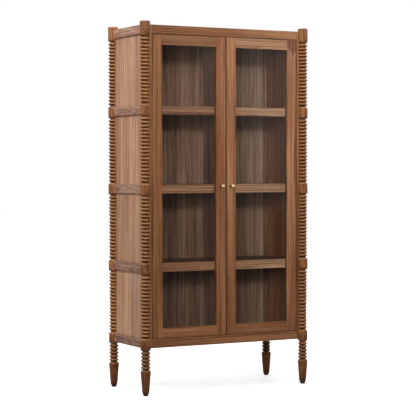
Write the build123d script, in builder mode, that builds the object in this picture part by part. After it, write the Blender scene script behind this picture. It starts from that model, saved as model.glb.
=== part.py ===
from build123d import *
import os
from math import cos, radians, sin

os.makedirs("parts", exist_ok=True)

# A glazed two-door cabinet on ridged, turned corner posts. Millimetres: X to the right, Y to the back,
# Z up from the floor. The origin is on the floor, under the middle of the cabinet's outer box.

# Overall layout
POST_SPAN_X = 1001.0  # between the axes of the left and right posts
POST_SPAN_Y = 411.0  # between the axes of the front and back posts
HEIGHT = 2032.0
KNOB_REACH = 32.0  # how far a knob stands out of its door
POST_RISE = 17.5  # how far a post's top stands above the top rails

# Turned posts
BLOCK_RADIUS = 28.0
CREST_RADIUS = 27.0
VALLEY_RADIUS = 18.5
BLOCK_HALF = 23.0  # from a block's middle to the start of its rounded end
NECK_REACH = 33.5  # from a block's middle to its neck
RIDGE_REACH = 48.0  # from a block's middle to the nearest crest
RIDGE_PITCH = 19.7
POST_SIDES = 8  # flat sides of a post, which has too many ridges for each to be round
BAY_RIDGES = (17, 18, 18, 18)  # ridges between the blocks, from the bottom bay up
LEG_RIDGES = 5
BOTTOM_BLOCK = 278.5  # height of the lowest block's middle
TOP_EASE = 2.5  # eased rim of a post's top
GLIDE_RADIUS = 14.0
GLIDE_HEIGHT = 8.0
GLIDE_EASE = 1.5
FOOT_RADIUS = 15.0
ANKLE_RADIUS = 19.5
ANKLE_HEIGHT = 24.0
LEG_SHOULDER = 131.0  # height at which the tapered leg is widest
LEG_NECK = 141.0

# Case frame
RAIL_HEIGHT = 48.0
RAIL_LIFT = 3.0  # a side rail's middle, above the middle of its block
FRONT_RAIL_DEPTH = 25.0
BACK_RAIL_DEPTH = 32.0
SIDE_RAIL_WIDTH = 35.0
SIDE_RAIL_PROUD = 10.0  # a side rail's outer face, outside the axes of the posts
FRONT_STILE_WIDTH = 41.0
FRONT_STILE_DEPTH = 50.0
BACK_STILE_WIDTH = 30.0
TONGUE_INSET = 22.0  # from a post's axis to the end of a rail's tongue
PANEL_RECESS = 3.0  # a side panel's outer face, inside the face of the corner stiles
PANEL_THICK = 10.0
BACK_PANEL_THICK = 8.0
BACK_PANEL_INSET = 12.0  # from the back of the frame to the back of its panel
GROOVE = 8.0  # depth of every panel groove
PLAY = 1.0  # room left at the bottom of a groove
BOARD_THICK = 20.0
BOARD_SEAT = 8.0  # width of the ledge that carries a board
TENON_LENGTH = 25.0
TENON_THICK = 8.0
TENON_SHOULDER = 9.0
FRONT_TENON_INSET = 6.0
BACK_TENON_INSET = 2.0
LIPPING_THICK = 20.0

# Doors
DOOR_GAP = 2.0
MEETING_GAP = 3.0
DOOR_THICK = 22.0
DOOR_STILE = 60.0
DOOR_RAIL = 57.0
DOOR_TENON = 40.0
DOOR_TENON_THICK = 8.0
DOOR_TENON_SHOULDER = 12.0
GLASS_INSET = 10.0  # from the door's face to the glass
GLASS_THICK = 4.0
REBATE = 10.0  # width of the rebate that holds the glass and its beads
GLASS_PLAY = 1.5
BEAD_GAP = 0.3  # hairline between two beads at a corner

# Door furniture
PIVOT_EDGE = 12.0  # from a door's hinge edge to its pivot
PIVOT_INSET = 6.0  # from a door's face to its pivot
PIN_RADIUS = 3.0
PIN_CLEARANCE = 0.05
PIN_REACH = 12.0  # length of pin inside the door
COLLAR_HEIGHT = 1.7
COLLAR_RADIUS = 5.0
BUSH_LENGTH = 14.0
LEAF_WIDTH = 10.0
LEAF_LENGTH = 40.0
LEAF_THICK = 2.0
KNOB_RADIUS = 11.0
KNOB_BASE_RADIUS = 8.0
KNOB_STEM_RADIUS = 4.5
SCREW_RADIUS = 2.0
SCREW_HOLE_RADIUS = 2.1
SCREW_HEAD_RADIUS = 4.0
SCREW_HEAD = 2.5
SCREW_DEPTH = 12.0  # how far the screw runs into the knob
SMALL_SIDES = 12  # flat sides of the knobs, screws, pins and glides
CATCH_SIZE = (40.0, 14.0, 36.0)
CATCH_DROP = 14.0  # how far a catch hangs below the top rail
STRIKE_THICK = 2.5
STRIKE_SIZE = (30.0, 13.0)

# Planes and heights that follow from these
FRAME_SHIFT = (KNOB_REACH - BLOCK_RADIUS) / 2
LEFT_X = -POST_SPAN_X / 2
FRONT_Y = FRAME_SHIFT - POST_SPAN_Y / 2
BACK_Y = FRAME_SHIFT + POST_SPAN_Y / 2
RAIL_OUT_X = LEFT_X - SIDE_RAIL_PROUD
RAIL_IN_X = RAIL_OUT_X + SIDE_RAIL_WIDTH
FRONT_STILE_X = LEFT_X + FRONT_STILE_WIDTH
FRONT_STILE_Y = FRONT_Y + FRONT_STILE_DEPTH
BACK_STILE_X = LEFT_X + BACK_STILE_WIDTH
BACK_STILE_Y = BACK_Y - BACK_RAIL_DEPTH
PANEL_OUT_X = LEFT_X + PANEL_RECESS
PANEL_IN_X = PANEL_OUT_X + PANEL_THICK
BACK_PANEL_Y = BACK_Y - BACK_PANEL_INSET
BACK_PANEL_FRONT_Y = BACK_PANEL_Y - BACK_PANEL_THICK
BOARD_X = RAIL_IN_X - BOARD_SEAT
LIPPING_Y = FRONT_STILE_Y - LIPPING_THICK
TONGUE_FRONT_Y = FRONT_Y + TONGUE_INSET
TONGUE_BACK_Y = BACK_Y - TONGUE_INSET
FRONT_TENON_Y = FRONT_Y + FRONT_TENON_INSET
BACK_TENON_Y = BACK_Y - BACK_TENON_INSET - TENON_THICK

BLOCKS = [BOTTOM_BLOCK]
for ridges in BAY_RIDGES:
    BLOCKS.append(BLOCKS[-1] + 2 * RIDGE_REACH + (ridges - 1) * RIDGE_PITCH)
RAIL_TOPS = [block + RAIL_LIFT + RAIL_HEIGHT / 2 for block in BLOCKS[:-1]]
RAIL_TOPS.append(HEIGHT - POST_RISE)
CASE_FOOT = RAIL_TOPS[0] - RAIL_HEIGHT
CASE_TOP = RAIL_TOPS[-1]
GROOVE_FOOT = RAIL_TOPS[0] - GROOVE
GROOVE_TOP = CASE_TOP - RAIL_HEIGHT + GROOVE

DOOR_FOOT = RAIL_TOPS[0] + DOOR_GAP
DOOR_TOP = CASE_TOP - RAIL_HEIGHT - DOOR_GAP
DOOR_OUT_X = FRONT_STILE_X + DOOR_GAP
DOOR_IN_X = -MEETING_GAP / 2
PANE_OUT_X = DOOR_OUT_X + DOOR_STILE
PANE_IN_X = DOOR_IN_X - DOOR_STILE
PANE_FOOT = DOOR_FOOT + DOOR_RAIL
PANE_TOP = DOOR_TOP - DOOR_RAIL
DOOR_BACK_Y = FRONT_Y + DOOR_THICK
GLASS_Y = FRONT_Y + GLASS_INSET
BEAD_Y = GLASS_Y + GLASS_THICK
PIVOT_X = DOOR_OUT_X + PIVOT_EDGE
PIVOT_Y = FRONT_Y + PIVOT_INSET
LEAF_X = PIVOT_X - LEAF_WIDTH / 2
LEAF_Y = PIVOT_Y - LEAF_WIDTH / 2
KNOB_X = DOOR_IN_X - DOOR_STILE / 2
KNOB_Z = (DOOR_FOOT + DOOR_TOP) / 2
KNOB_PLACE = Location((KNOB_X, FRONT_Y, KNOB_Z), (90, 0, 0))

FROM_CORNER = (Align.MIN, Align.MIN, Align.MIN)
MID_DEPTH = Plane((0, FRAME_SHIFT, 0), z_dir=(0, 1, 0))


def bar(low, high, mode=Mode.ADD):
    """A square-edged length of wood or metal between two corners, added to the piece or cut from it."""
    with Locations(low):
        Box(*(b - a for a, b in zip(low, high)), align=FROM_CORNER, mode=mode)


def save(piece, name):
    piece.part.label = name
    export_step(piece.part, f"parts/{name}.step")


def save_pair(piece, name):
    """Writes a left-hand piece and its right-hand twin. The name holds {} where the side goes."""
    save(piece, name.format("left"))
    with BuildPart() as twin:
        mirror(piece.part, about=Plane.YZ)
    save(twin, name.format("right"))


def turned(profile, sides):
    """A turned piece with flat sides, upright. The profile lists (radius, height) from the bottom."""
    corners = [radians(360 * side / sides) for side in range(sides)]
    rings = [[Vector(r * cos(a), r * sin(a), z) for a in corners] for r, z in profile]
    faces = [Face(Wire.make_polygon(rings[0])), Face(Wire.make_polygon(rings[-1]))]
    for low, high in zip(rings, rings[1:]):
        for side in range(-1, sides - 1):
            faces.append(Face(Wire.make_polygon([low[side], low[side + 1], high[side + 1], high[side]])))
    return Solid(Shell(faces))


def rail_ends(low_x, low_y, high_x, high_y, tops):
    """The places of the rails that reach one stretch of a post or a stile, as pairs of corners."""
    return [((low_x, low_y, top - RAIL_HEIGHT), (high_x, high_y, top)) for top in tops]


# Turned posts: the left front post is made, and the others mirror it. It is a three-quarter column: the
# quarter that faces into the case is cut away, and the square corner stile stands in its place.
def ridge_run(low, high, ridges):
    """A run of ridges between two necks, from its first crest up to the upper neck."""
    first = (low + high - (ridges - 1) * RIDGE_PITCH) / 2
    run = []
    for ridge in range(ridges):
        run.append((CREST_RADIUS, first + ridge * RIDGE_PITCH))
        run.append((VALLEY_RADIUS, first + (ridge + 0.5) * RIDGE_PITCH))
    return run[:-1] + [(VALLEY_RADIUS, high)]


post_profile = [
    (FOOT_RADIUS, GLIDE_HEIGHT),
    (ANKLE_RADIUS, ANKLE_HEIGHT),
    (BLOCK_RADIUS, LEG_SHOULDER),
    (VALLEY_RADIUS, LEG_NECK),
]
post_profile += ridge_run(LEG_NECK, BLOCKS[0] - NECK_REACH, LEG_RIDGES)
for lower, upper, ridges in zip(BLOCKS, BLOCKS[1:], BAY_RIDGES):
    post_profile.append((BLOCK_RADIUS, lower - BLOCK_HALF))
    post_profile.append((BLOCK_RADIUS, lower + BLOCK_HALF))
    post_profile.append((VALLEY_RADIUS, lower + NECK_REACH))
    post_profile += ridge_run(lower + NECK_REACH, upper - NECK_REACH, ridges)
post_profile += [
    (BLOCK_RADIUS, BLOCKS[-1] - BLOCK_HALF),
    (BLOCK_RADIUS, HEIGHT - TOP_EASE),
    (BLOCK_RADIUS - TOP_EASE, HEIGHT),
]

with BuildPart() as post:
    with Locations((LEFT_X, FRONT_Y)):
        add(turned(post_profile, POST_SIDES))
    bar((LEFT_X, FRONT_Y, CASE_FOOT), (FRONT_STILE_X, FRONT_STILE_Y, CASE_TOP), Mode.SUBTRACT)
    for corners in rail_ends(RAIL_OUT_X, TONGUE_FRONT_Y, LEFT_X, FRONT_STILE_Y, RAIL_TOPS):
        bar(*corners, mode=Mode.SUBTRACT)
save_pair(post, "front_{}_post")

with BuildPart() as back_post:
    mirror(post.part, about=MID_DEPTH)
save_pair(back_post, "back_{}_post")

with BuildPart() as foot_glides:
    with Locations((0, FRAME_SHIFT)):
        with GridLocations(POST_SPAN_X, POST_SPAN_Y, 2, 2):
            add(
                turned(
                    [
                        (GLIDE_RADIUS - GLIDE_EASE, 0),
                        (GLIDE_RADIUS, GLIDE_EASE),
                        (GLIDE_RADIUS, GLIDE_HEIGHT),
                    ],
                    SMALL_SIDES,
                )
            )
save(foot_glides, "foot_glides")

# Corner stiles: the square uprights of the case, housed for the rails and grooved for the panels
with BuildPart() as front_stile:
    bar((LEFT_X, FRONT_Y, CASE_FOOT), (FRONT_STILE_X, FRONT_STILE_Y, CASE_TOP))
    bar(
        (PANEL_OUT_X, FRONT_STILE_Y - GROOVE, GROOVE_FOOT),
        (PANEL_IN_X, FRONT_STILE_Y, GROOVE_TOP),
        Mode.SUBTRACT,
    )
    for corners in rail_ends(LEFT_X, TONGUE_FRONT_Y, PANEL_OUT_X, FRONT_STILE_Y, RAIL_TOPS):
        bar(*corners, mode=Mode.SUBTRACT)
    for top in (RAIL_TOPS[0], CASE_TOP):
        bar(
            (FRONT_STILE_X - TENON_LENGTH, FRONT_TENON_Y, top - RAIL_HEIGHT + TENON_SHOULDER),
            (FRONT_STILE_X, FRONT_TENON_Y + TENON_THICK, top - TENON_SHOULDER),
            Mode.SUBTRACT,
        )
save_pair(front_stile, "front_{}_stile")

with BuildPart() as back_stile:
    bar((LEFT_X, BACK_STILE_Y, CASE_FOOT), (BACK_STILE_X, BACK_Y, CASE_TOP))
    bar(
        (PANEL_OUT_X, BACK_STILE_Y, GROOVE_FOOT),
        (PANEL_IN_X, BACK_STILE_Y + GROOVE, GROOVE_TOP),
        Mode.SUBTRACT,
    )
    bar(
        (BACK_STILE_X - GROOVE, BACK_PANEL_FRONT_Y, GROOVE_FOOT),
        (BACK_STILE_X, BACK_PANEL_Y, GROOVE_TOP),
        Mode.SUBTRACT,
    )
    for corners in rail_ends(LEFT_X, BACK_STILE_Y, PANEL_OUT_X, TONGUE_BACK_Y, RAIL_TOPS):
        bar(*corners, mode=Mode.SUBTRACT)
    for top in (RAIL_TOPS[0], CASE_TOP):
        bar(
            (BACK_STILE_X - TENON_LENGTH, BACK_TENON_Y, top - RAIL_HEIGHT + TENON_SHOULDER),
            (BACK_STILE_X, BACK_TENON_Y + TENON_THICK, top - TENON_SHOULDER),
            Mode.SUBTRACT,
        )
save_pair(back_stile, "back_{}_stile")

# Side rails, numbered from the top. Each carries a board on the ledge inside its top edge, and its outer
# part runs on as a tongue into the blocks of the posts.
for number, top in enumerate(reversed(RAIL_TOPS), start=1):
    foot = top - RAIL_HEIGHT
    with BuildPart() as side_rail:
        bar((RAIL_OUT_X, FRONT_STILE_Y, foot), (RAIL_IN_X, BACK_STILE_Y, top))
        bar((RAIL_OUT_X, TONGUE_FRONT_Y, foot), (PANEL_OUT_X, TONGUE_BACK_Y, top))
        bar((BOARD_X, FRONT_STILE_Y, top - BOARD_THICK), (RAIL_IN_X, BACK_STILE_Y, top), Mode.SUBTRACT)
        if top != CASE_TOP:
            bar((PANEL_OUT_X, FRONT_STILE_Y, top - GROOVE), (PANEL_IN_X, BACK_STILE_Y, top), Mode.SUBTRACT)
        if foot != CASE_FOOT:
            bar((PANEL_OUT_X, FRONT_STILE_Y, foot), (PANEL_IN_X, BACK_STILE_Y, foot + GROOVE), Mode.SUBTRACT)
    save_pair(side_rail, "{}_side_rail_" + str(number))

# Side panels, numbered from the top, loose in their grooves
for number, (upper, lower) in enumerate(zip(RAIL_TOPS[:0:-1], RAIL_TOPS[-2::-1]), start=1):
    with BuildPart() as side_panel:
        bar(
            (PANEL_OUT_X, FRONT_STILE_Y - GROOVE + PLAY, lower - GROOVE + PLAY),
            (PANEL_IN_X, BACK_STILE_Y + GROOVE - PLAY, upper - RAIL_HEIGHT + GROOVE - PLAY),
        )
    save_pair(side_panel, "{}_side_panel_" + str(number))


# Front and back rails, tenoned into the corner stiles
def cross_rail(end_x, low_y, high_y, ledge_low_y, ledge_high_y, tenon_y, top):
    """A rail across the case, with a tenon at each end and a ledge for a board inside its top edge."""
    foot = top - RAIL_HEIGHT
    bar((-end_x, low_y, foot), (end_x, high_y, top))
    bar((-end_x, ledge_low_y, top - BOARD_THICK), (end_x, ledge_high_y, top), Mode.SUBTRACT)
    for side in (-end_x - TENON_LENGTH, end_x):
        bar(
            (side, tenon_y, foot + TENON_SHOULDER),
            (side + TENON_LENGTH, tenon_y + TENON_THICK, top - TENON_SHOULDER),
        )


FRONT_LEDGE_Y = FRONT_Y + FRONT_RAIL_DEPTH - BOARD_SEAT
for place, top in (("bottom", RAIL_TOPS[0]), ("top", CASE_TOP)):
    leaf_z = top - LEAF_THICK if place == "bottom" else top - RAIL_HEIGHT
    with BuildPart() as front_rail:
        cross_rail(
            -FRONT_STILE_X,
            FRONT_Y,
            FRONT_Y + FRONT_RAIL_DEPTH,
            FRONT_LEDGE_Y,
            FRONT_Y + FRONT_RAIL_DEPTH,
            FRONT_TENON_Y,
            top,
        )
        for leaf_x in (LEAF_X, -LEAF_X - LEAF_LENGTH):
            bar(
                (leaf_x, LEAF_Y, leaf_z),
                (leaf_x + LEAF_LENGTH, LEAF_Y + LEAF_WIDTH, leaf_z + LEAF_THICK),
                Mode.SUBTRACT,
            )
    save(front_rail, f"front_{place}_rail")

BACK_LEDGE_Y = BACK_STILE_Y + BOARD_SEAT
for place, top in (("bottom", RAIL_TOPS[0]), ("top", CASE_TOP)):
    groove_z = top - GROOVE if place == "bottom" else top - RAIL_HEIGHT
    with BuildPart() as back_rail:
        cross_rail(
            -BACK_STILE_X,
            BACK_STILE_Y,
            BACK_Y,
            BACK_STILE_Y,
            BACK_LEDGE_Y,
            BACK_TENON_Y,
            top,
        )
        bar(
            (BACK_STILE_X, BACK_PANEL_FRONT_Y, groove_z),
            (-BACK_STILE_X, BACK_PANEL_Y, groove_z + GROOVE),
            Mode.SUBTRACT,
        )
    save(back_rail, f"back_{place}_rail")

with BuildPart() as back_panel:
    bar(
        (BACK_STILE_X - GROOVE + PLAY, BACK_PANEL_FRONT_Y, GROOVE_FOOT + PLAY),
        (-BACK_STILE_X + GROOVE - PLAY, BACK_PANEL_Y, GROOVE_TOP - PLAY),
    )
save(back_panel, "back_panel")

# Top and bottom boards lie on the ledges of the rails and are notched round the corner stiles
for place, top in (("bottom", RAIL_TOPS[0]), ("top", CASE_TOP)):
    with BuildPart() as board:
        bar((BOARD_X, FRONT_LEDGE_Y, top - BOARD_THICK), (-BOARD_X, BACK_LEDGE_Y, top))
        for low_x, high_x in ((BOARD_X, FRONT_STILE_X), (-FRONT_STILE_X, -BOARD_X)):
            bar((low_x, FRONT_LEDGE_Y, top - BOARD_THICK), (high_x, FRONT_STILE_Y, top), Mode.SUBTRACT)
        for low_x, high_x in ((BOARD_X, BACK_STILE_X), (-BACK_STILE_X, -BOARD_X)):
            bar((low_x, BACK_STILE_Y, top - BOARD_THICK), (high_x, BACK_LEDGE_Y, top), Mode.SUBTRACT)
    save(board, f"{place}_panel")

# Shelves, numbered from the top: a board on the side rails, and a deep lipping on its front edge
for number, top in enumerate(RAIL_TOPS[-2:0:-1], start=1):
    with BuildPart() as shelf:
        bar((BOARD_X, FRONT_STILE_Y, top - BOARD_THICK), (-BOARD_X, BACK_PANEL_FRONT_Y, top))
        for low_x, high_x in ((BOARD_X, BACK_STILE_X), (-BACK_STILE_X, -BOARD_X)):
            bar((low_x, BACK_STILE_Y, top - BOARD_THICK), (high_x, BACK_PANEL_FRONT_Y, top), Mode.SUBTRACT)
    save(shelf, f"shelf_{number}")
    with BuildPart() as lipping:
        bar((FRONT_STILE_X, LIPPING_Y, top - RAIL_HEIGHT), (-FRONT_STILE_X, FRONT_STILE_Y, top))
    save(lipping, f"shelf_lipping_{number}")

# Door frames: through stiles, tenoned rails and a rebate at the back for the glass
def hinge_leaf(foot, bush_foot, mode=Mode.ADD):
    """A door's hinge leaf: a plate let into the end of the stile, and a square bush behind it."""
    bar((LEAF_X, LEAF_Y, foot), (LEAF_X + LEAF_LENGTH, LEAF_Y + LEAF_WIDTH, foot + LEAF_THICK), mode)
    bush_top = bush_foot + BUSH_LENGTH
    bar((LEAF_X, LEAF_Y, bush_foot), (LEAF_X + LEAF_WIDTH, LEAF_Y + LEAF_WIDTH, bush_top), mode)


screw_hole = [(SCREW_HOLE_RADIUS, -DOOR_THICK), (SCREW_HOLE_RADIUS, SCREW_DEPTH + 1)]
for place, low_x, high_x, pane_x, mortise_x in (
    ("hinge", DOOR_OUT_X, PANE_OUT_X, PANE_OUT_X - REBATE, PANE_OUT_X - DOOR_TENON),
    ("meeting", PANE_IN_X, DOOR_IN_X, PANE_IN_X, PANE_IN_X),
):
    with BuildPart() as door_stile:
        bar((low_x, FRONT_Y, DOOR_FOOT), (high_x, DOOR_BACK_Y, DOOR_TOP))
        bar(
            (pane_x, GLASS_Y, PANE_FOOT - REBATE),
            (pane_x + REBATE, DOOR_BACK_Y, PANE_TOP + REBATE),
            Mode.SUBTRACT,
        )
        for foot in (DOOR_FOOT, PANE_TOP):
            bar(
                (mortise_x, GLASS_Y - DOOR_TENON_THICK, foot + DOOR_TENON_SHOULDER),
                (mortise_x + DOOR_TENON, GLASS_Y, foot + DOOR_RAIL - DOOR_TENON_SHOULDER),
                Mode.SUBTRACT,
            )
        if place == "hinge":
            for foot, bush_foot in (
                (DOOR_FOOT, DOOR_FOOT),
                (DOOR_TOP - LEAF_THICK, DOOR_TOP - BUSH_LENGTH),
            ):
                hinge_leaf(foot, bush_foot, Mode.SUBTRACT)
        else:
            with Locations(KNOB_PLACE):
                add(turned(screw_hole, SMALL_SIDES), mode=Mode.SUBTRACT)
    save_pair(door_stile, "{}_door_" + place + "_stile")

for place, foot, rebate_foot in (
    ("bottom", DOOR_FOOT, PANE_FOOT - REBATE),
    ("top", PANE_TOP, PANE_TOP),
):
    with BuildPart() as door_rail:
        bar((PANE_OUT_X, FRONT_Y, foot), (PANE_IN_X, DOOR_BACK_Y, foot + DOOR_RAIL))
        bar((PANE_OUT_X, GLASS_Y, rebate_foot), (PANE_IN_X, DOOR_BACK_Y, rebate_foot + REBATE), Mode.SUBTRACT)
        bar(
            (PANE_OUT_X - DOOR_TENON, GLASS_Y - DOOR_TENON_THICK, foot + DOOR_TENON_SHOULDER),
            (PANE_IN_X + DOOR_TENON, GLASS_Y, foot + DOOR_RAIL - DOOR_TENON_SHOULDER),
        )
    save_pair(door_rail, "{}_door_" + place + "_rail")

with BuildPart() as glass:
    edge = REBATE - GLASS_PLAY
    bar((PANE_OUT_X - edge, GLASS_Y, PANE_FOOT - edge), (PANE_IN_X + edge, BEAD_Y, PANE_TOP + edge))
save_pair(glass, "{}_door_glass")

with BuildPart() as beads:
    for low_x in (PANE_OUT_X - REBATE, PANE_IN_X):
        bar((low_x, BEAD_Y, PANE_FOOT - REBATE), (low_x + REBATE, DOOR_BACK_Y, PANE_TOP + REBATE))
    for foot in (PANE_FOOT - REBATE, PANE_TOP):
        bar((PANE_OUT_X + BEAD_GAP, BEAD_Y, foot), (PANE_IN_X - BEAD_GAP, DOOR_BACK_Y, foot + REBATE))
save_pair(beads, "{}_door_beads")

# Pivot hinges: the leaves in the rails carry a pin, and the lower ones a collar that takes the door's weight.
# The leaves in the doors carry a bush.
with BuildPart() as case_leaves:
    for leaf_z, turn in ((RAIL_TOPS[0], 1), (CASE_TOP - RAIL_HEIGHT, -1)):
        plate_z = leaf_z - LEAF_THICK if turn > 0 else leaf_z
        bar((LEAF_X, LEAF_Y, plate_z), (LEAF_X + LEAF_LENGTH, LEAF_Y + LEAF_WIDTH, plate_z + LEAF_THICK))
        pin_z = leaf_z if turn > 0 else leaf_z - DOOR_GAP - PIN_REACH
        with Locations((PIVOT_X, PIVOT_Y, pin_z)):
            add(turned([(PIN_RADIUS, 0), (PIN_RADIUS, DOOR_GAP + PIN_REACH)], SMALL_SIDES))
    with Locations((PIVOT_X, PIVOT_Y, RAIL_TOPS[0])):
        add(turned([(COLLAR_RADIUS, 0), (COLLAR_RADIUS, COLLAR_HEIGHT)], SMALL_SIDES))
    mirror(about=Plane.YZ)
save(case_leaves, "case_hinge_leaves")

with BuildPart() as door_leaves:
    hinge_leaf(DOOR_FOOT, DOOR_FOOT)
    hinge_leaf(DOOR_TOP - LEAF_THICK, DOOR_TOP - BUSH_LENGTH)
    with BuildSketch(Plane((PIVOT_X, PIVOT_Y, DOOR_FOOT))):
        Circle(PIN_RADIUS + PIN_CLEARANCE)
    extrude(amount=DOOR_TOP - DOOR_FOOT, mode=Mode.SUBTRACT)
save_pair(door_leaves, "{}_door_hinge_leaves")

# Knobs: a turned brass knob on the meeting stile, held by a screw from behind. Heights count from the
# door's face, towards the front.
knob_profile = [
    (KNOB_BASE_RADIUS, 0),
    (KNOB_BASE_RADIUS, 2.5),
    (KNOB_STEM_RADIUS, 5),
    (KNOB_STEM_RADIUS, 15),
    (KNOB_RADIUS - 1, 20),
    (KNOB_RADIUS, 24),
    (KNOB_RADIUS - 1.5, 28.5),
    (KNOB_RADIUS - 5, 31),
    (KNOB_RADIUS - 9, KNOB_REACH),
]
screw_profile = [
    (SCREW_HEAD_RADIUS, -DOOR_THICK - SCREW_HEAD),
    (SCREW_HEAD_RADIUS, -DOOR_THICK),
    (SCREW_RADIUS, -DOOR_THICK),
    (SCREW_RADIUS, SCREW_DEPTH),
]
with BuildPart() as knob:
    with Locations(KNOB_PLACE):
        add(turned(knob_profile, SMALL_SIDES))
        add(turned(screw_hole, SMALL_SIDES), mode=Mode.SUBTRACT)
        add(turned(screw_profile, SMALL_SIDES))
save_pair(knob, "{}_door_knob")

# Magnetic catches behind the top rail, and the plates on the doors that they hold
with BuildPart() as catches:
    for middle_x in (KNOB_X, -KNOB_X):
        low = (middle_x - CATCH_SIZE[0] / 2, FRONT_Y + FRONT_RAIL_DEPTH, CASE_TOP - RAIL_HEIGHT - CATCH_DROP)
        bar(low, tuple(corner + size for corner, size in zip(low, CATCH_SIZE)))
save(catches, "magnetic_catches")

with BuildPart() as strike:
    bar(
        (KNOB_X - STRIKE_SIZE[0] / 2, DOOR_BACK_Y, DOOR_TOP - STRIKE_SIZE[1]),
        (KNOB_X + STRIKE_SIZE[0] / 2, DOOR_BACK_Y + STRIKE_THICK, DOOR_TOP),
    )
save_pair(strike, "{}_door_strike_plate")
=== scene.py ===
import math
import random

import bmesh
import bpy
from mathutils import Matrix, Vector


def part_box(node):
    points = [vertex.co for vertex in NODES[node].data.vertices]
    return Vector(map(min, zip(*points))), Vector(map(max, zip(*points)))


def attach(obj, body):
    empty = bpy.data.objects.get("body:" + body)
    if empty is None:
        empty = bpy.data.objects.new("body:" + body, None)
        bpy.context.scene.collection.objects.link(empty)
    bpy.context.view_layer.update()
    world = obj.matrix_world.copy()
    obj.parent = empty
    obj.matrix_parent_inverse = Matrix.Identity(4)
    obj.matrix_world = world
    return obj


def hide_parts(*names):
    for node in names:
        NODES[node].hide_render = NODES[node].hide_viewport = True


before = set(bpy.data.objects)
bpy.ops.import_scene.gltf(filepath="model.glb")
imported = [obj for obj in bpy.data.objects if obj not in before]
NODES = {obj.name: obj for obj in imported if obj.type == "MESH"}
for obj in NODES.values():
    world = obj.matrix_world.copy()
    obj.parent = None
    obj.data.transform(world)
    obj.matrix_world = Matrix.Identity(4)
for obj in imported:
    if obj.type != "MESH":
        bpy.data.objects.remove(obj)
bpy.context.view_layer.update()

SIDES = ("left", "right")
ENDS = ("front", "back")


def linear(red, green, blue):
    """A colour written as screen values from 0 to 255, as Blender wants it."""
    def channel(value):
        value = value / 255
        return value / 12.92 if value <= 0.04045 else ((value + 0.055) / 1.055) ** 2.4
    return channel(red), channel(green), channel(blue), 1.0


def toned(colour, tone):
    return tuple(c * t for c, t in zip(colour, tone)) + (1.0,)


# Node graphs
class Graph:
    """The node tree of a material or world, with short calls for the nodes that they are made of here."""

    def __init__(self, owner):
        self.owner = owner
        owner.use_nodes = True
        self.tree = owner.node_tree
        self.tree.nodes.clear()

    def node(self, kind, inputs=None, **settings):
        node = self.tree.nodes.new(kind)
        for key, value in settings.items():
            setattr(node, key, value)
        for key, value in (inputs or {}).items():
            if isinstance(value, bpy.types.NodeSocket):
                self.tree.links.new(value, node.inputs[key])
            else:
                node.inputs[key].default_value = value
        return node

    def math(self, operation, a, b=0.0, clamp=False):
        return self.node("ShaderNodeMath", {0: a, 1: b}, operation=operation, use_clamp=clamp).outputs[0]

    def vector(self, operation, a, b):
        return self.node("ShaderNodeVectorMath", {0: a, 1: b}, operation=operation).outputs[0]

    def hypotenuse(self, a, b):
        return self.math("SQRT", self.math("ADD", self.math("MULTIPLY", a, a), self.math("MULTIPLY", b, b)))

    def parts(self, vector):
        return self.node("ShaderNodeSeparateXYZ", {0: vector}).outputs

    def here(self):
        """The place on the object that is shaded."""
        return self.node("ShaderNodeTexCoord").outputs["Object"]

    def upward(self):
        """How far the surface faces up, from -1 to 1."""
        return self.parts(self.node("ShaderNodeNewGeometry").outputs["Normal"])[2]

    def noise(self, vector, scale=1.0, detail=2.0, roughness=0.5, distortion=0.0):
        inputs = {"Vector": vector, "Scale": scale, "Detail": detail}
        inputs.update({"Roughness": roughness, "Distortion": distortion})
        return self.node("ShaderNodeTexNoise", inputs).outputs[0]

    def spread(self, value, amount):
        """A noise value from 0 to 1, centred on nothing and scaled."""
        return self.math("MULTIPLY", self.math("SUBTRACT", value, 0.5), amount)

    def rescale(self, value, low, high, new_low=0.0, new_high=1.0):
        inputs = {"Value": value, "From Min": low, "From Max": high, "To Min": new_low, "To Max": new_high}
        return self.node("ShaderNodeMapRange", inputs, interpolation_type="SMOOTHSTEP").outputs[0]

    def ramp(self, value, stops):
        node = self.node("ShaderNodeValToRGB", {0: value})
        points = node.color_ramp.elements
        while len(points) < len(stops):
            points.new(0.5)
        for point, (place, colour) in zip(points, stops):
            point.position = place
            point.color = colour
        return node.outputs[0]

    def mix(self, factor, a, b, blend="MIX"):
        node = self.node("ShaderNodeMix", {0: factor, 6: a, 7: b}, data_type="RGBA", blend_type=blend)
        return node.outputs[2]

    def blend_numbers(self, factor, a, b):
        return self.node("ShaderNodeMix", {0: factor, 2: a, 3: b}).outputs[0]

    def bump(self, height, strength, distance):
        inputs = {"Height": height, "Strength": strength, "Distance": distance}
        return self.node("ShaderNodeBump", inputs).outputs[0]

    def finish(self, shader):
        world = isinstance(self.owner, bpy.types.World)
        kind = "ShaderNodeOutputWorld" if world else "ShaderNodeOutputMaterial"
        self.node(kind, {"Surface": shader.outputs[0]})
        return self.owner

    def finish_surface(self, inputs):
        return self.finish(self.node("ShaderNodeBsdfPrincipled", inputs))


def material(name):
    return Graph(bpy.data.materials.new(name))


# Wood: growth rings round a pith beside or behind the board, drawn out along the grain
OAK = [
    (0.0, linear(84, 43, 22)),
    (0.32, linear(122, 72, 41)),
    (0.62, linear(153, 98, 60)),
    (1.0, linear(188, 132, 88)),
]
WARM = linear(146, 80, 42)
GREY = linear(146, 106, 80)
# STAIN_AND_PAINTED_SHADE colours the pores, and as painted shade it darkens gaps and corners
STAIN_AND_PAINTED_SHADE = linear(52, 26, 13)
# HOLLOW paints shade in a turned piece's hollows and under its ridges, and stains its darker bands
HOLLOW = linear(58, 25, 6)
# PALE is a painted highlight on the up-facing slopes of ridges
PALE = linear(206, 152, 108)
# Painted shade on board faces inside the cabinet
INSIDE_PAINTED_SHADE_TINT = (0.7, 0.58, 0.48, 1.0)
FLAME_TINT = (0.5, 0.37, 0.31, 1.0)

# How light one growth ring is from its start to its end
RING = [(0.0, 0.42), (0.2, 0.8), (0.6, 0.62), (0.87, 0.08), (1.0, 0.42)]

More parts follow.
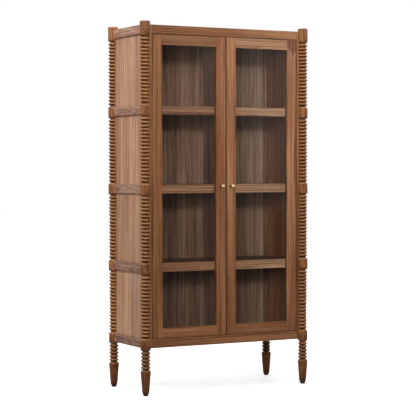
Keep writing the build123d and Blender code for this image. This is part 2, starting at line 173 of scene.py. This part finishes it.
# The size in metres of each kind of mark, across the grain and along it
WANDER = (2.0, 0.7)
LEAN = (0.25, 0.45)
RIPPLE = (0.035, 0.3)
STREAK = (0.010, 0.7)
BAND = (0.055, 1.3)
FIBRE = (0.0016, 0.09)
VEIN = (0.007, 0.5)
PATCH = (0.14, 0.5)
PORE = (0.0009, 0.022)

# How strongly the marks, stains, painted shade and painted highlights show that don't depend on the cut
RIPPLE_IN_RINGS = 2.2
BAND_DEPTH = 0.8
FIBRE_DEPTH = 0.5
MIDDLE_SHADE = 0.54
WARM_PATCH = 0.28
GREY_PATCH = 0.25
PORE_STAIN = 0.45
# The next two set the painted highlight on top of ridges and the painted shade under them
TOP_PAINTED_HIGHLIGHT = 0.42
UNDERSIDE_LESS = 0.08
# Painted shade along edges beside gaps between parts
GAP_PAINTED_SHADE = 0.7
# The next two set the painted shade in corners and creases of boards and of turned pieces
CORNER_PAINTED_SHADE = 0.6
TURNED_CORNER_PAINTED_SHADE = 0.25

# A flame, in metres: its half width at the top, the soft edge round it, how far its tip lies off the middle
# and how far its sides stray
FLAME_HALF = 0.046
FLAME_EDGE = 0.004
FLAME_LEAN = 0.012
FLAME_RAGGED = 0.03

# How a board was cut: ring spacing, pith offset across and through the board, slope of the pith, sway of the
# grain, depth of the rings, of the streaks and of the dark veins
STRAIGHT = {
    "ring": 0.0095, "pith": (0.24, 0.05), "slope": 0.006, "sway": 0.012,
    "depth": 0.5, "streak": 1.4, "vein": 0.35,
}
WIDE = {
    "ring": 0.018, "pith": (0.16, 0.07), "slope": 0.02, "sway": 0.05,
    "depth": 0.36, "streak": 0.7, "vein": 0.15,
}
BACKED = {
    "ring": 0.03, "pith": (1.4, 0.07), "slope": 0.01, "sway": 0.08,
    "depth": 0.25, "streak": 0.9, "vein": 0.6,
}
FIGURED = {
    "ring": 0.0085, "pith": (0.006, 0.03), "slope": 0.05, "sway": 0.05,
    "depth": 0.5, "streak": 1.0, "vein": 0.2,
}


def wood(
    name, centre, axes, seed,
    cut=STRAIGHT, tone=(1, 1, 1), drift=(0.0, 0.0), groove=None, bands=(), edges=(), flame=None, inside=0,
):
    """axes names the board's width, thickness and grain. drift is how much it lightens across and along it.

    groove is the (deep, proud) radius of a turned piece and the painted shade in its hollows. It also gets
    painted shade under its ridges and a painted highlight on top of them. bands are the (height, half length,
    stain) of its darker parts. edges are the (axis, place) of edges beside a gap, painted dark as shade.
    flame is the (tip, top) heights of a dark tongue of heartwood that hangs down from the top of an upright
    piece. inside is 1 or -1 where one face of a board, towards + or - of its thickness, is inside the
    cabinet and gets painted shade.
    """
    rng = random.Random(seed)
    g = material(name)
    split = g.parts(g.vector("SUBTRACT", g.here(), tuple(centre)))
    across, thick, along = (split["XYZ".index(axis)] for axis in axes)
    grain = g.node("ShaderNodeCombineXYZ", {0: across, 1: thick, 2: along}).outputs[0]
    grain = g.vector("ADD", grain, tuple(rng.uniform(-9, 9) for _ in range(3)))

    def marks(size, **kind):
        width, length = size
        return g.noise(g.vector("MULTIPLY", grain, (1 / width, 1 / width, 1 / length)), **kind)

    # Rings, whose pith lies off the board and leans
    pith_a = cut["pith"][0] * rng.choice((-1, 1)) * rng.uniform(0.8, 1.2)
    pith_b = cut["pith"][1] * rng.uniform(0.8, 1.25)
    tilt = cut["slope"] * rng.choice((-1, 1)) * rng.uniform(0.7, 1.3)
    a = g.math("ADD", g.math("SUBTRACT", across, pith_a), g.spread(marks(WANDER), cut["sway"]))
    b = g.math("ADD", g.math("SUBTRACT", thick, pith_b), g.math("MULTIPLY", along, tilt))
    b = g.math("ADD", b, g.spread(marks(LEAN), cut["sway"]))
    ripple = g.spread(marks(RIPPLE, detail=3.0, roughness=0.6), cut["ring"] * RIPPLE_IN_RINGS)
    radius = g.math("ADD", g.hypotenuse(a, b), ripple)
    phase = g.math("FRACT", g.math("DIVIDE", radius, cut["ring"]))
    growth = g.ramp(phase, [(place, (light, light, light, 1.0)) for place, light in RING])

    # Shade, from the rings, the streaks and the finer marks
    streak = marks(STREAK, detail=3.0, roughness=0.6)
    fibre = marks(FIBRE, detail=3.0, roughness=0.6)
    vein = g.rescale(marks(VEIN, detail=3.0, roughness=0.55, distortion=0.4), 0.56, 0.68)
    shade = g.math("ADD", g.spread(growth, cut["depth"]), g.spread(streak, cut["streak"]))
    shade = g.math("SUBTRACT", shade, g.math("MULTIPLY", vein, cut["vein"]))
    shade = g.math("ADD", shade, g.spread(marks(BAND), BAND_DEPTH))
    shade = g.math("ADD", shade, g.spread(fibre, FIBRE_DEPTH))
    shade = g.math("ADD", shade, g.math("MULTIPLY", across, drift[0]))
    shade = g.math("ADD", shade, g.math("MULTIPLY", along, drift[1]))
    shade = g.math("ADD", shade, MIDDLE_SHADE, clamp=True)

    # Colour, then the wood's patches, flame and pores, and painted shade and highlights
    colour = g.ramp(shade, [(place, toned(stop, tone)) for place, stop in OAK])
    patch = marks(PATCH)
    colour = g.mix(g.rescale(patch, 0.5, 0.75, 0.0, WARM_PATCH), colour, toned(WARM, tone))
    colour = g.mix(g.rescale(patch, 0.48, 0.25, 0.0, GREY_PATCH), colour, toned(GREY, tone))
    # Painted shade on the face of a board that is inside the cabinet
    if inside:
        inside_shade = g.rescale(g.math("MULTIPLY", thick, inside), -0.001, 0.001)
        colour = g.mix(inside_shade, colour, INSIDE_PAINTED_SHADE_TINT, "MULTIPLY")
    if flame:
        rise = g.rescale(along, flame[0] - centre[2], flame[1] - centre[2])
        aside = g.math("SUBTRACT", across, g.rescale(rise, 0.0, 1.0, FLAME_LEAN, 0.0))
        ragged = g.math("ADD", g.math("ABSOLUTE", aside), g.spread(streak, FLAME_RAGGED))
        within = g.math("SUBTRACT", g.math("MULTIPLY", rise, FLAME_HALF), g.math("ADD", ragged, FLAME_EDGE))
        within = g.rescale(within, -FLAME_EDGE, FLAME_EDGE)
        dark = g.math("MULTIPLY", within, g.rescale(rise, 0.0, 0.12, 0.0, 0.9))
        colour = g.mix(dark, colour, FLAME_TINT, "MULTIPLY")
    pores = g.rescale(marks(PORE, roughness=0.7), 0.56, 0.70)
    colour = g.mix(g.math("MULTIPLY", pores, PORE_STAIN), colour, STAIN_AND_PAINTED_SHADE)
    if groove:
        deep, proud, hollow = groove
        # Painted shade in the hollows, a painted highlight on up-facing slopes and painted shade on
        # down-facing ones
        colour = g.mix(g.rescale(g.hypotenuse(across, thick), deep, proud, hollow, 0.0), colour, HOLLOW)
        upward = g.upward()
        colour = g.mix(g.rescale(upward, 0.1, 0.7, 0.0, TOP_PAINTED_HIGHLIGHT), colour, toned(PALE, tone))
        colour = g.mix(g.rescale(upward, -0.1, -0.7, 0.0, hollow - UNDERSIDE_LESS), colour, HOLLOW)
    for height, half, stain in bands:
        beyond = g.math("ABSOLUTE", g.math("SUBTRACT", along, height - centre[2]))
        colour = g.mix(g.rescale(beyond, half + 0.004, half, 0.0, stain), colour, HOLLOW)
    # Painted shade along edges beside a gap
    for axis, line in edges:
        number = "XYZ".index(axis)
        off = g.math("ABSOLUTE", g.math("SUBTRACT", split[number], line - centre[number]))
        colour = g.mix(g.rescale(off, 0.0035, 0.001, 0.0, GAP_PAINTED_SHADE), colour, STAIN_AND_PAINTED_SHADE)
    # Painted shade in corners and creases, from ambient occlusion
    corner = g.node("ShaderNodeAmbientOcclusion", {"Distance": 0.008}, samples=6).outputs["AO"]
    corner_shade = TURNED_CORNER_PAINTED_SHADE if groove else CORNER_PAINTED_SHADE
    colour = g.mix(g.rescale(corner, 0.35, 0.9, corner_shade, 0.0), colour, STAIN_AND_PAINTED_SHADE)

    rough = g.math("ADD", g.spread(fibre, 0.16), g.math("ADD", 0.47, g.math("MULTIPLY", pores, 0.14)))
    relief = g.math("SUBTRACT", g.math("MULTIPLY", fibre, 0.6), pores)
    return g.finish_surface({
        "Base Color": colour,
        "Roughness": rough,
        "Specular IOR Level": 0.4,
        "Normal": g.bump(relief, 0.3, 0.0005),
    })


# Metal, plastic and glass
DULL = (0.55, 0.55, 0.55)
# Knob colours: dark patina with painted shade, then a painted highlight
AGED_AND_SHADED = linear(70, 34, 9)
PAINTED_HIGHLIGHT_BRASS = linear(255, 224, 172)
SCUFFED = linear(66, 62, 58)


def tarnish_on(g):
    return g.noise(g.here(), 180.0, 4.0, 0.6)


def metal(name, colour, roughness):
    g = material(name)
    brushed = g.noise(g.vector("MULTIPLY", g.here(), (160, 160, 2600)), 1.0, 3.0, 0.6)
    tarnish = tarnish_on(g)
    return g.finish_surface({
        "Base Color": g.mix(g.rescale(tarnish, 0.45, 0.7, 0.0, 0.45), colour, toned(colour, DULL)),
        "Metallic": 1.0,
        "Roughness": g.math("ADD", roughness, g.spread(tarnish, 0.25)),
        "Normal": g.bump(brushed, 0.08, 0.0002),
    })


def aged_brass_with_painted_light(name, front):
    """Satin brass: a painted highlight on the face at y = front, patina and painted shade behind it."""
    g = material(name)
    tarnish = tarnish_on(g)
    behind = g.math("SUBTRACT", g.parts(g.here())[1], front)
    # Painted highlight on the knob's face, weaker on downward faces as painted shade
    lit_face = g.rescale(g.math("ADD", behind, g.spread(tarnish, 0.003)), 0.012, 0.005)
    lit_face = g.math("MULTIPLY", lit_face, g.rescale(g.upward(), -0.7, 0.1, 0.25, 1.0))
    return g.finish_surface({
        "Base Color": g.mix(lit_face, AGED_AND_SHADED, PAINTED_HIGHLIGHT_BRASS),
        "Metallic": 0.45,
        "Roughness": g.math("ADD", 0.36, g.spread(tarnish, 0.2)),
    })


def plastic(name, colour):
    g = material(name)
    grit = g.noise(g.here(), 900.0, 3.0, 0.6)
    scuff = g.noise(g.here(), 120.0, 4.0, 0.6)
    return g.finish_surface({
        "Base Color": g.mix(g.rescale(scuff, 0.5, 0.75, 0.0, 0.5), colour, SCUFFED),
        "Roughness": g.math("ADD", 0.5, g.spread(scuff, 0.3)),
        "Normal": g.bump(grit, 0.25, 0.0003),
    })


def pane_glass(name):
    """A clear pane too thin to bend what is seen through it, with faint smears in its polish."""
    g = material(name)
    smear = g.noise(g.vector("MULTIPLY", g.here(), (6, 6, 2.5)), 1.0, 4.0, 0.6, 1.2)
    tint = g.mix(smear, (0.975, 0.985, 0.98, 1.0), (0.99, 0.997, 0.993, 1.0))
    clear = g.node("ShaderNodeBsdfTransparent", {"Color": tint})
    polish = g.node("ShaderNodeBsdfGlossy", {"Roughness": 0.0})
    facing = g.math("SUBTRACT", 1.0, g.node("ShaderNodeNewGeometry").outputs["Backfacing"])
    fresnel = g.node("ShaderNodeFresnel", {"IOR": 1.45}).outputs[0]
    shine = g.math("MULTIPLY", fresnel, g.math("MULTIPLY", facing, 1.8))
    mirror = g.math("ADD", shine, g.math("MULTIPLY", facing, g.spread(smear, 0.01)))
    return g.finish(g.node("ShaderNodeMixShader", {0: mirror, 1: clear.outputs[0], 2: polish.outputs[0]}))


BRASS = metal("brass", linear(214, 170, 108), 0.3)
STEEL = metal("plated_steel", linear(176, 176, 174), 0.35)
BLACK = plastic("black_plastic", linear(30, 28, 27))
GLASS = pane_glass("pane_glass")
KNOB_BRASS = aged_brass_with_painted_light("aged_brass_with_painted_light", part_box("left_door_knob")[0].y)


def dress(obj, look):
    obj.data.materials.clear()
    obj.data.materials.append(look)


# Boards, rails and stiles: eased edges and wood whose grain runs along each piece
BOARD_EDGE = 0.0012
RAIL_EDGE = 0.0016
DOOR_EDGE = 0.0008
BEAD_EDGE = 0.001


def ease(node, width):
    weld = node.modifiers.new("weld", "WELD")
    weld.merge_threshold = 0.00002
    bevel = node.modifiers.new("eased_edges", "BEVEL")
    bevel.width = width
    bevel.segments = 2
    bevel.limit_method = "ANGLE"
    bevel.angle_limit = math.radians(40)
    bevel.use_clamp_overlap = True


def board(node, axes, seed, width=BOARD_EDGE, **look):
    low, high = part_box(node)
    ease(NODES[node], width)
    dress(NODES[node], wood("wood_" + node, (low + high) / 2, axes, seed, **look))


# Tones multiply the colours of the wood. A drift is how much a piece lightens across and along its grain
# The right door's tones are lighter and greyer than the left's, partly as painted light and sheen
DOOR_TONES = {
    "left_door_hinge_stile": (1.17, 1.31, 1.32), "right_door_hinge_stile": (1.48, 1.74, 2.16),
    "left_door_meeting_stile": (1.12, 1.15, 1.16), "right_door_meeting_stile": (1.31, 1.45, 1.65),
    "left_door_top_rail": (1.04, 1.18, 1.22), "right_door_top_rail": (1.46, 1.88, 2.4),
    "left_door_bottom_rail": (1.14, 1.16, 1.25), "right_door_bottom_rail": (1.21, 1.32, 1.48),
}
FLAMES = {"right_door_hinge_stile": (1.852, 1.963)}
# The stiles' drift is painted light, lightening the right door's stiles upwards
STILE_PAINTED_FALLOFF = {"left": (0.0, -0.01), "right": (0.0, 0.18)}
RAIL_TONES = {"top": (1.04, 1.1, 1.18), "bottom": (1.2, 1.26, 1.35)}
RAIL_DRIFT = {"top": (0.0, 0.45), "bottom": (0.0, 0.1)}
STRIP_TONE = (1.15, 1.3, 1.35)
PANEL_TONE = (1.82, 2.6, 4.1)
SIDE_RAIL_TONE = (1.25, 1.7, 3.0)
# Side rail tones step from rail to rail as painted light
TOP_SIDE_RAIL = 1.14
SIDE_RAIL_PAINTED_FALL = 0.08
LIPPING_TONE = (1.75, 2.35, 3.25)
# The lippings lighten to the right as painted light
LIPPING_PAINTED_LIGHT = (0.0, 0.4)
# The shelves' dark tone is painted shade
SHELF_PAINTED_SHADE_TONE = (0.45, 0.45, 0.6)
BACK_TONE = (1.16, 1.7, 2.85)
# The back panel darkens to the left and towards the bottom as painted shade
BACK_PAINTED_SHADE = (0.48, 0.15)

# Where the edges of a door are: its foot and top, and its hinge side and meeting side from the middle
DOOR_FOOT = 0.3075
DOOR_TOP = 1.9645
DOOR_HINGE_SIDE = 0.4575
DOOR_MEETING_SIDE = 0.0015

# The axes of width, thickness and grain of an upright, level or flat piece
UPRIGHT_FRONT = "XYZ"
UPRIGHT_SIDE = "YXZ"
LEVEL_FRONT = "ZYX"
LEVEL_SIDE = "ZXY"
FLAT = "YZX"

for number, side in enumerate(SIDES):
    outward = -1 if side == "left" else 1
    board(f"front_{side}_stile", UPRIGHT_FRONT, 11 + number, tone=STRIP_TONE)
    board(f"back_{side}_stile", UPRIGHT_FRONT, 13 + number, tone=BACK_TONE)
    for rail in range(1, 6):
        node = f"{side}_side_rail_{rail}"
        tone = tuple(t * (TOP_SIDE_RAIL - SIDE_RAIL_PAINTED_FALL * (rail - 1)) for t in SIDE_RAIL_TONE)
        board(node, LEVEL_SIDE, 20 + 10 * number + rail, width=RAIL_EDGE, cut=FIGURED, tone=tone)
    for panel in range(1, 5):
        node = f"{side}_side_panel_{panel}"
        board(node, UPRIGHT_SIDE, 40 + 10 * number + panel, cut=WIDE, tone=PANEL_TONE, inside=-outward)
    door = {
        "width": DOOR_EDGE,
        "edges": (
            ("Z", DOOR_FOOT), ("Z", DOOR_TOP),
            ("X", DOOR_HINGE_SIDE * outward), ("X", DOOR_MEETING_SIDE * outward),
        ),
    }
    for piece, seed in (("hinge_stile", 61), ("meeting_stile", 63)):
        node = f"{side}_door_{piece}"
        look = {"tone": DOOR_TONES[node], "drift": STILE_PAINTED_FALLOFF[side], "flame": FLAMES.get(node)}
        board(node, UPRIGHT_FRONT, seed + number, **look, **door)
    for piece, seed in (("top_rail", 65), ("bottom_rail", 67)):
        node = f"{side}_door_{piece}"
        board(node, LEVEL_FRONT, seed + number, tone=DOOR_TONES[node], **door)
    board(f"{side}_door_beads", UPRIGHT_FRONT, 69 + number, width=BEAD_EDGE)
for number, level in enumerate(("top", "bottom")):
    look = {"tone": RAIL_TONES[level], "drift": RAIL_DRIFT[level]}
    board(f"front_{level}_rail", LEVEL_FRONT, 71 + number, width=RAIL_EDGE, **look)
    board(f"back_{level}_rail", LEVEL_FRONT, 73 + number)
    board(f"{level}_panel", FLAT, 75 + number)
for shelf in range(1, 4):
    board(f"shelf_{shelf}", FLAT, 80 + shelf, tone=SHELF_PAINTED_SHADE_TONE)
    board(f"shelf_lipping_{shelf}", LEVEL_FRONT, 84 + shelf, tone=LIPPING_TONE, drift=LIPPING_PAINTED_LIGHT)
board("back_panel", UPRIGHT_FRONT, 90, cut=BACKED, tone=BACK_TONE, drift=BACK_PAINTED_SHADE)


def mesh_object(name, bm, look):
    bmesh.ops.recalc_face_normals(bm, faces=bm.faces)
    mesh = bpy.data.meshes.new(name)
    bm.to_mesh(mesh)
    bm.free()
    for polygon in mesh.polygons:
        polygon.use_smooth = True
    mesh.set_sharp_from_angle(angle=math.radians(50))
    obj = bpy.data.objects.new(name, mesh)
    bpy.context.scene.collection.objects.link(obj)
    dress(obj, look)
    return obj


# Turned posts
POST_RADIUS = 0.028
CREST = 0.0279
VALLEY = 0.0176
PITCH = 0.0197
BLOCK_HALF = 0.023
NECK_REACH = 0.0335
RIDGE_REACH = 0.048
BLOCKS = (0.2785, 0.6897, 1.1206, 1.5515, 1.9824)
RIDGES_ABOVE = (17, 18, 18, 18)
LEG_RIDGES = 5
CASE_FOOT = 0.2575
CASE_TOP = 2.0145
POST_FOOT = 0.008
POST_TOP = 2.032
TOP_ROUND = 0.003
LEG_SHOULDER = 0.131
LEG_NECK = 0.141
LEG = [
    (0.0125, POST_FOOT), (0.0148, POST_FOOT + 0.0006), (0.0178, 0.015), (0.0195, 0.024), (0.0238, 0.078),
    (POST_RADIUS - 0.0012, 0.1185), (POST_RADIUS, 0.1265), (POST_RADIUS, LEG_SHOULDER),
]
STRAIGHT_SHARE = 0.75
TURN_STEPS = 40
RIDGE_STEPS = 8

# The height, half length and stain of the leg, and the height and half length of the top block
LEG_BAND = (0.14, 0.14, 0.3)
TOP_BLOCK = (2.0, 0.05)

# The tone of each post, the painted shade in its hollows and the stain on its top block
POST_LOOKS = {
    "front_left_post": ((0.97, 0.95, 0.79), 0.36, 0.25),
    "front_right_post": ((0.97, 0.95, 0.79), 0.66, 0.18),
    "back_left_post": ((1.2, 1.2, 0.97), 0.6, 0.0),
    "back_right_post": ((0.97, 0.95, 0.79), 0.5, 0.0),
}


def ridge_run(first, count):
    """(radius, height) along a run of ridges, each a rounded V."""
    points = []
    for ridge in range(count):
        for step in range(RIDGE_STEPS):
            u = abs(step / RIDGE_STEPS * 2 - 1)
            drop = STRAIGHT_SHARE * u + (1 - STRAIGHT_SHARE) * (0.5 - 0.5 * math.cos(math.pi * u))
            height = first + (ridge - 0.5 + step / RIDGE_STEPS) * PITCH
            points.append((CREST - (CREST - VALLEY) * drop, height))
    points.append((VALLEY, first + (count - 0.5) * PITCH))
    return points


def quarter_round(start, end, bulge=True, steps=5):
    """Points along a rounded corner from one (radius, height) to another."""
    points = []
    for step in range(steps + 1):
        t = math.pi / 2 * step / steps
        across, up = (math.sin(t), 1 - math.cos(t)) if bulge else (1 - math.cos(t), math.sin(t))
        points.append((start[0] + (end[0] - start[0]) * across, start[1] + (end[1] - start[1]) * up))
    return points


def post_profile():
    """(radius, height) up a post, from its foot to its top."""
    points = LEG + quarter_round((POST_RADIUS, LEG_SHOULDER), (VALLEY, LEG_NECK), bulge=False)[1:]
    leg_first = (LEG_NECK + BLOCKS[0] - NECK_REACH) / 2 - (LEG_RIDGES - 1) / 2 * PITCH
    points += [p for p in ridge_run(leg_first, LEG_RIDGES) if p[1] > LEG_NECK + 0.0005]
    for block, ridges in zip(BLOCKS, RIDGES_ABOVE):
        points += quarter_round((VALLEY, block - NECK_REACH), (POST_RADIUS, block - BLOCK_HALF))
        points += quarter_round((POST_RADIUS, block + BLOCK_HALF), (VALLEY, block + NECK_REACH), bulge=False)
        points += ridge_run(block + RIDGE_REACH, ridges)
    points += quarter_round((VALLEY, BLOCKS[-1] - NECK_REACH), (POST_RADIUS, BLOCKS[-1] - BLOCK_HALF))
    points += quarter_round(
        (POST_RADIUS, POST_TOP - TOP_ROUND), (POST_RADIUS - TOP_ROUND, POST_TOP), bulge=False
    )
    rising = [points[0]]
    for point in points[1:]:
        if point[1] > rising[-1][1] + 0.00005:
            rising.append(point)
    return rising


def radius_at(profile, height):
    for (r0, z0), (r1, z1) in zip(profile, profile[1:]):
        if z0 <= height <= z1:
            return r0 + (r1 - r0) * (height - z0) / (z1 - z0)
    return profile[-1][0]


def turned_post(end, side):
    """A round leg and top, and between them a column open at the quarter that the corner stile fills."""
    node = f"{end}_{side}_post"
    low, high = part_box(node)
    inward_x = 1 if side == "left" else -1
    inward_y = 1 if end == "front" else -1
    axis_x = low.x + POST_RADIUS if side == "left" else high.x - POST_RADIUS
    axis_y = low.y + POST_RADIUS if end == "front" else high.y - POST_RADIUS
    profile = post_profile()
    profile += [(radius_at(profile, height), height) for height in (CASE_FOOT, CASE_TOP)]
    profile.sort(key=lambda point: point[1])
    quarter = TURN_STEPS // 4
    bm = bmesh.new()
    rings = []
    axis = []
    for radius, height in profile:
        ring = []
        for step in range(TURN_STEPS):
            angle = math.tau * step / TURN_STEPS
            x = axis_x + inward_x * radius * math.cos(angle)
            y = axis_y + inward_y * radius * math.sin(angle)
            cut_away = 0 < step < quarter and CASE_FOOT < height < CASE_TOP
            ring.append(None if cut_away else bm.verts.new((x, y, height)))
        rings.append(ring)
        open_here = CASE_FOOT <= height <= CASE_TOP
        axis.append(bm.verts.new((axis_x, axis_y, height)) if open_here else None)
    for ring, upper, middle, above in zip(rings, rings[1:], axis, axis[1:]):
        notched = middle is not None and above is not None
        for step in range(TURN_STEPS):
            if notched and step < quarter:
                continue
            after = (step + 1) % TURN_STEPS
            bm.faces.new((ring[step], ring[after], upper[after], upper[step]))
        if notched:
            for step in (0, quarter):
                bm.faces.new((middle, ring[step], upper[step], above))
    for ring, middle, (_, height) in zip(rings, axis, profile):
        if height in (CASE_FOOT, CASE_TOP):
            bm.faces.new([middle] + ring[: quarter + 1])
    bm.faces.new(rings[0])
    bm.faces.new(rings[-1])
    seed = 100 + 2 * ENDS.index(end) + SIDES.index(side)
    tone, hollow, top_stain = POST_LOOKS[node]
    look = wood(
        "wood_" + node, (axis_x, axis_y, 1.0), UPRIGHT_FRONT, seed,
        cut=FIGURED, tone=tone, groove=(VALLEY, CREST, hollow), bands=(LEG_BAND, (*TOP_BLOCK, top_stain)),
    )
    post = mesh_object(node + "_turned", bm, look)
    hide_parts(node)
    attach(post, "case")


for end in ENDS:
    for side in SIDES:
        turned_post(end, side)


# Glides and knobs
def lathe(bm, profile, place, steps=32):
    """Turns (radius, height) points round the Z axis of a placement matrix. A radius of 0 closes an end."""
    angles = [math.tau * step / steps for step in range(steps)]
    rings = []
    for radius, height in profile:
        if radius == 0:
            rim = [Vector((0, 0, height))]
        else:
            rim = [Vector((radius * math.cos(t), radius * math.sin(t), height)) for t in angles]
        rings.append([bm.verts.new(place @ point) for point in rim])
    for lower, upper in zip(rings, rings[1:]):
        for step in range(steps):
            after = (step + 1) % steps
            corners = [lower[step % len(lower)], lower[after % len(lower)]]
            corners += [upper[after % len(upper)], upper[step % len(upper)]]
            bm.faces.new(list(dict.fromkeys(corners)))


GLIDE_RADIUS = 0.014
GLIDE_HEIGHT = 0.008
GLIDE = [
    (0, 0), (0.0125, 0), (0.0136, 0.0005), (GLIDE_RADIUS, 0.0015),
    (GLIDE_RADIUS, GLIDE_HEIGHT), (0, GLIDE_HEIGHT),
]
bm = bmesh.new()
low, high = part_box("foot_glides")
for x in (low.x + GLIDE_RADIUS, high.x - GLIDE_RADIUS):
    for y in (low.y + GLIDE_RADIUS, high.y - GLIDE_RADIUS):
        lathe(bm, GLIDE, Matrix.Translation((x, y, 0)))
glides = mesh_object("foot_glides_round", bm, BLACK)
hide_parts("foot_glides")
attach(glides, "case")

# Each knob stands on its door, and its screw comes from behind
KNOB_LENGTH = 0.032
KNOB = [
    (0, 0), (0.0078, 0), (0.008, 0.0004), (0.008, 0.0018), (0.0074, 0.0026), (0.0054, 0.0042),
    (0.0046, 0.006), (0.0045, 0.0135), (0.0052, 0.0162), (0.0076, 0.0186), (0.0098, 0.0205),
    (0.0108, 0.0226), (0.011, 0.0245), (0.0107, 0.0264), (0.0096, 0.0286), (0.0076, 0.0304),
    (0.0048, 0.0315), (0.002, 0.0319), (0, KNOB_LENGTH),
]
SCREW_HEAD = [
    (0, -0.0245), (0.0028, -0.0245), (0.0037, -0.0241), (0.004, -0.0233), (0.004, -0.022), (0, -0.022),
]
for side in SIDES:
    node = f"{side}_door_knob"
    low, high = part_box(node)
    place = Matrix.Translation(((low.x + high.x) / 2, low.y + KNOB_LENGTH, (low.z + high.z) / 2))
    place = place @ Matrix.Rotation(math.pi / 2, 4, "X")
    bm = bmesh.new()
    lathe(bm, KNOB, place)
    lathe(bm, SCREW_HEAD, place, 24)
    knob = mesh_object(node + "_turned", bm, KNOB_BRASS)
    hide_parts(node)
    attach(knob, f"{side}_door")
    dress(NODES[f"{side}_door_glass"], GLASS)
    dress(NODES[f"{side}_door_hinge_leaves"], BRASS)
    dress(NODES[f"{side}_door_strike_plate"], STEEL)
dress(NODES["case_hinge_leaves"], BRASS)
dress(NODES["magnetic_catches"], BLACK)

# Floor: pale where it is seen, dim where it lights the cabinet, and it keeps a faint shadow
FLOOR_REACH = 30
DIM = (0.2, 0.2, 0.2, 1)
g = material("pale_floor")
paint = g.noise(g.here(), 3.0, 4.0)
path = g.node("ShaderNodeLightPath").outputs
seen = path["Is Camera Ray"]
pale = g.mix(paint, (0.8, 0.8, 0.8, 1), (0.84, 0.84, 0.84, 1))
matt = g.node("ShaderNodeBsdfDiffuse", {"Color": g.mix(seen, DIM, pale)})
away = g.node("ShaderNodeVectorMath", {0: g.here()}, operation="LENGTH").outputs["Value"]
glow = g.rescale(away, 1.2, 4.0, 0.7, 1.0)
glint = g.math("MULTIPLY", path["Is Glossy Ray"], g.rescale(away, 2.0, 5.0, 0.0, 0.06))
lift = g.node("ShaderNodeEmission", {"Strength": g.math("ADD", g.math("MULTIPLY", seen, glow), glint)})
both = g.node("ShaderNodeAddShader", {0: matt.outputs[0], 1: lift.outputs[0]})
bm = bmesh.new()
bmesh.ops.create_grid(bm, x_segments=1, y_segments=1, size=FLOOR_REACH)
floor = mesh_object("floor", bm, g.finish(both))

# Surroundings: white to the camera, dim as light, and brighter behind and to the right in mirrored light
AMBIENT = 0.05
SHEEN_BACK = 0.85
SHEEN_FRONT = 0.05
SHEEN_RIGHT = 0.4
g = Graph(bpy.data.worlds.new("white_room"))
towards = g.parts(g.node("ShaderNodeTexCoord").outputs["Generated"])
path = g.node("ShaderNodeLightPath").outputs
mirrored = g.math("MAXIMUM", path["Is Glossy Ray"], path["Is Transmission Ray"])
overhead = g.rescale(towards[2], 0.0, 0.6, AMBIENT * 0.4, AMBIENT)
sheen = g.rescale(towards[1], -0.5, 0.5, SHEEN_FRONT, SHEEN_BACK)
in_front = g.math("LESS_THAN", towards[1], 0.0)
right_wall = g.math("MULTIPLY", g.rescale(towards[0], 0.42, 0.54, 0.0, SHEEN_RIGHT), in_front)
right_wall = g.math("MULTIPLY", right_wall, g.rescale(towards[2], -0.08, 0.09, 0.2, 1.2))
light = g.blend_numbers(mirrored, overhead, g.math("ADD", sheen, right_wall))
light = g.blend_numbers(path["Is Camera Ray"], light, 1.0)
room = g.node("ShaderNodeBackground", {"Color": (1, 1, 1, 1), "Strength": light})
bpy.context.scene.world = g.finish(room)


# Studio lamps
def lamp(name, place, target, size, power, spread=180, mirrored=True):
    data = bpy.data.lights.new(name, "AREA")
    data.shape = "RECTANGLE"
    data.size, data.size_y = size
    data.energy = power
    data.spread = math.radians(spread)
    obj = bpy.data.objects.new(name, data)
    obj.location = place
    obj.rotation_euler = (Vector(target) - Vector(place)).to_track_quat("-Z", "Y").to_euler()
    obj.visible_glossy = mirrored
    bpy.context.scene.collection.objects.link(obj)


lamp("key", place=(-3.1, -9.2, 3.8), target=(0.6, 0, 2.1), size=(0.25, 1.4), power=14, spread=40)
lamp("left_front", place=(-3.7, -5.2, 1.9), target=(0.3, 0, 1.7), size=(1.5, 1.5), power=78, mirrored=False)
lamp("overhead", place=(-0.3, -1.5, 4.5), target=(0, -0.2, 1.3), size=(1.8, 1.8), power=42)
lamp("left_high", place=(-5.5, -0.6, 6.0), target=(-0.5, 0, 1.2), size=(1.6, 1.6), power=225)
lamp("left_box", place=(-4.0, 0.0, 1.6), target=(-0.5, 0, 1.2), size=(2.2, 2.2), power=21)
lamp("right_box", place=(1.7, -1.6, 2.5), target=(0.3, -0.2, 1.5), size=(0.8, 0.8), power=8)
lamp("back_right", place=(3.4, 4.2, 2.4), target=(0.2, 0.1, 1.1), size=(2.4, 2.4), power=130, mirrored=False)

# Camera at the photograph's place
CAMERA = (-4.05885, -7.52754, 1.2326)
YAW = 0.493951
RISE = -0.025966
ROLL = -0.001291
ahead = Vector((math.sin(YAW) * math.cos(RISE), math.cos(YAW) * math.cos(RISE), math.sin(RISE)))
right = Vector((math.cos(YAW), -math.sin(YAW), 0))
up = right.cross(ahead)
rolled_right = math.cos(ROLL) * right + math.sin(ROLL) * up
rolled_up = math.cos(ROLL) * up - math.sin(ROLL) * right
lens = bpy.data.cameras.new("camera")
lens.sensor_width = 36
lens.lens = 130.1
lens.clip_end = 100
camera = bpy.data.objects.new("camera", lens)
turn = Matrix((rolled_right, rolled_up, -ahead)).transposed().to_4x4()
camera.matrix_world = Matrix.Translation(CAMERA) @ turn
bpy.context.scene.collection.objects.link(camera)
bpy.context.scene.camera = camera
bpy.context.scene.view_settings.view_transform = "Standard"
